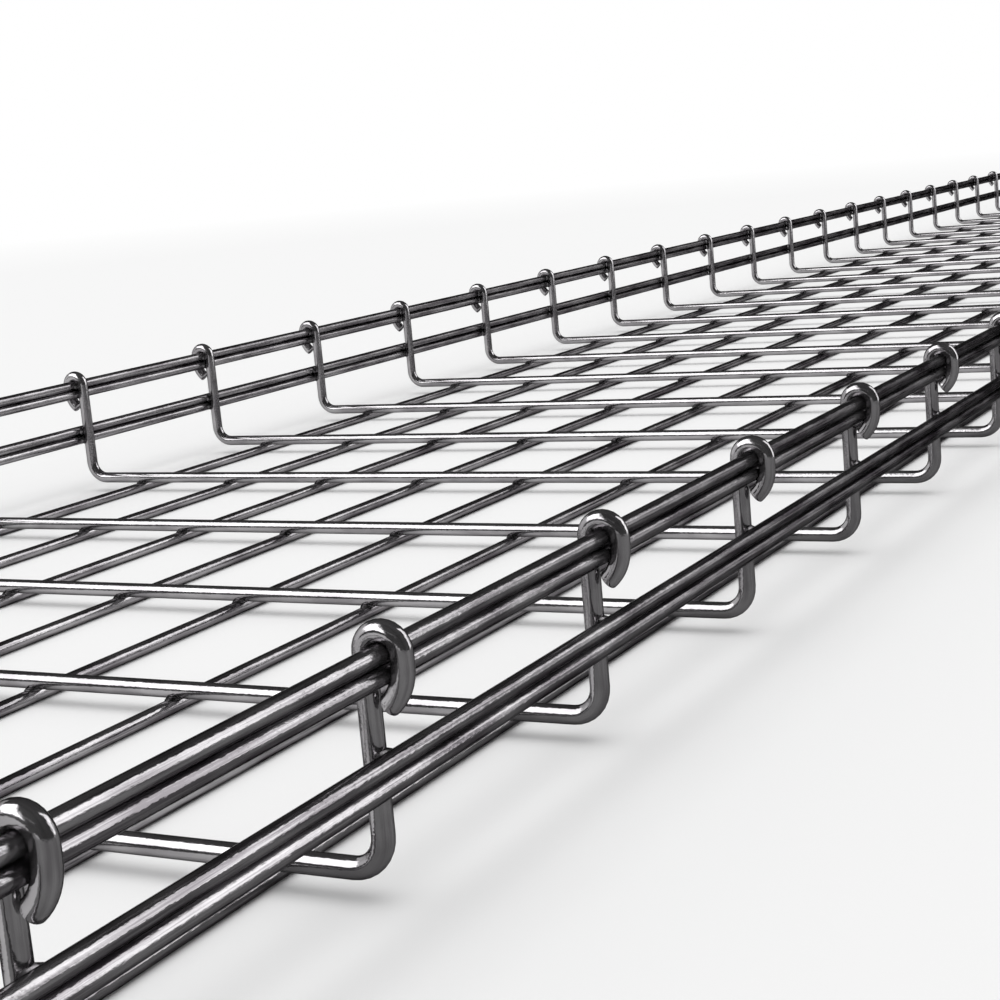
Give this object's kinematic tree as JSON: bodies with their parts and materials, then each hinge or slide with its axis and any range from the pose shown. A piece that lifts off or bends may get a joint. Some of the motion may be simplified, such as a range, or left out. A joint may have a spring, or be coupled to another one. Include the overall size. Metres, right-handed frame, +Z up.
{
  "type": "wire mesh cable basket",
  "caption": "Straight length of welded wire mesh cable basket: U-bent cross wires hooked over paired top rails, with straight wires along the floor and sides.",
  "frame": {"origin": "midway along and across the basket, on the plane that the floor wires rest on", "axes": "+Y along the basket, +Z up out of its open top, X across it"},
  "size_m": [0.4212, 3, 0.0566],
  "materials": {
    "side_wire": "bright drawn wire",
    "floor_wire": "bright drawn wire",
    "cross_wire": "bright smooth wire"
  },
  "bodies": {
    "root": {"top_rail_upper_left": "side_wire", "top_rail_upper_right": "side_wire", "top_rail_lower_left": "side_wire", "top_rail_lower_right": "side_wire", "side_rail_upper_left": "side_wire", "side_rail_upper_right": "side_wire", "side_rail_lower_left": "side_wire", "side_rail_lower_right": "side_wire", "floor_wire_1": "floor_wire", "floor_wire_2": "floor_wire", "floor_wire_3": "floor_wire", "floor_wire_4": "floor_wire", "floor_wire_5": "floor_wire", "floor_wire_6": "floor_wire", "floor_wire_7": "floor_wire", "floor_wire_8": "floor_wire", "cross_wire_01": "cross_wire", "cross_wire_02": "cross_wire", "cross_wire_03": "cross_wire", "cross_wire_04": "cross_wire", "cross_wire_05": "cross_wire", "cross_wire_06": "cross_wire", "cross_wire_07": "cross_wire", "cross_wire_08": "cross_wire", "cross_wire_09": "cross_wire", "cross_wire_10": "cross_wire", "cross_wire_11": "cross_wire", "cross_wire_12": "cross_wire", "cross_wire_13": "cross_wire", "cross_wire_14": "cross_wire", "cross_wire_15": "cross_wire", "cross_wire_16": "cross_wire", "cross_wire_17": "cross_wire", "cross_wire_18": "cross_wire", "cross_wire_19": "cross_wire", "cross_wire_20": "cross_wire", "cross_wire_21": "cross_wire", "cross_wire_22": "cross_wire", "cross_wire_23": "cross_wire", "cross_wire_24": "cross_wire", "cross_wire_25": "cross_wire", "cross_wire_26": "cross_wire", "cross_wire_27": "cross_wire", "cross_wire_28": "cross_wire", "cross_wire_29": "cross_wire", "cross_wire_30": "cross_wire"}
  },
  "joints": []
}
